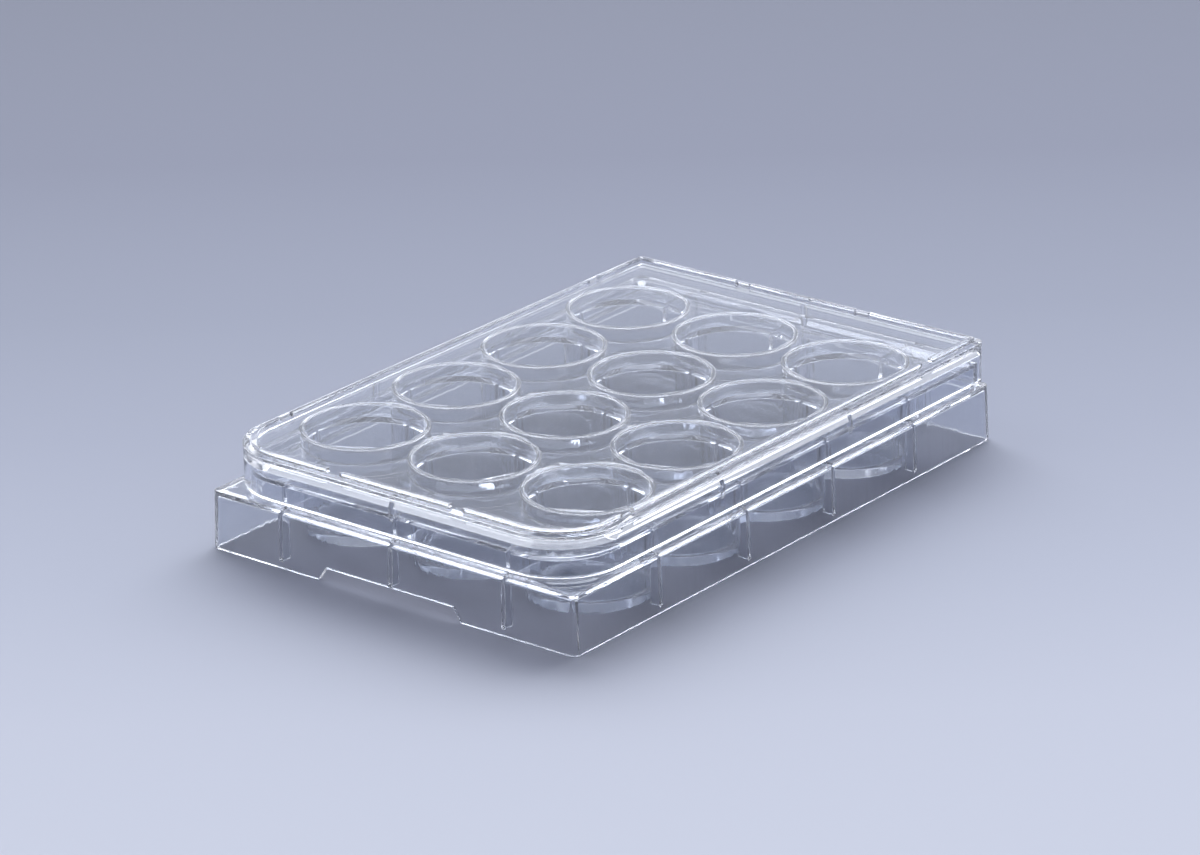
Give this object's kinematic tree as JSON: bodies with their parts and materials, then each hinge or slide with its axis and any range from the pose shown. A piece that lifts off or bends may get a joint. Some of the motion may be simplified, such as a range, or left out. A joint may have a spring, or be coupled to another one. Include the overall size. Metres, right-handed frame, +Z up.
{
  "type": "well plate",
  "caption": "Clear polystyrene twelve-well culture plate with its lid on, a skirted base with two rounded upper corners.",
  "frame": {"origin": "bottom centre of the plate, on the bench that the skirt stands on", "axes": "+X along the long side, away from the two rounded corners and the notched end; +Z up, out of the wells"},
  "size_m": [0.1278, 0.0854, 0.0209],
  "materials": {
    "base_polystyrene": "clear, polished",
    "lid_polystyrene": "clear, polished"
  },
  "bodies": {
    "root": {"plate_base": "base_polystyrene", "lid": "lid_polystyrene"}
  },
  "joints": []
}
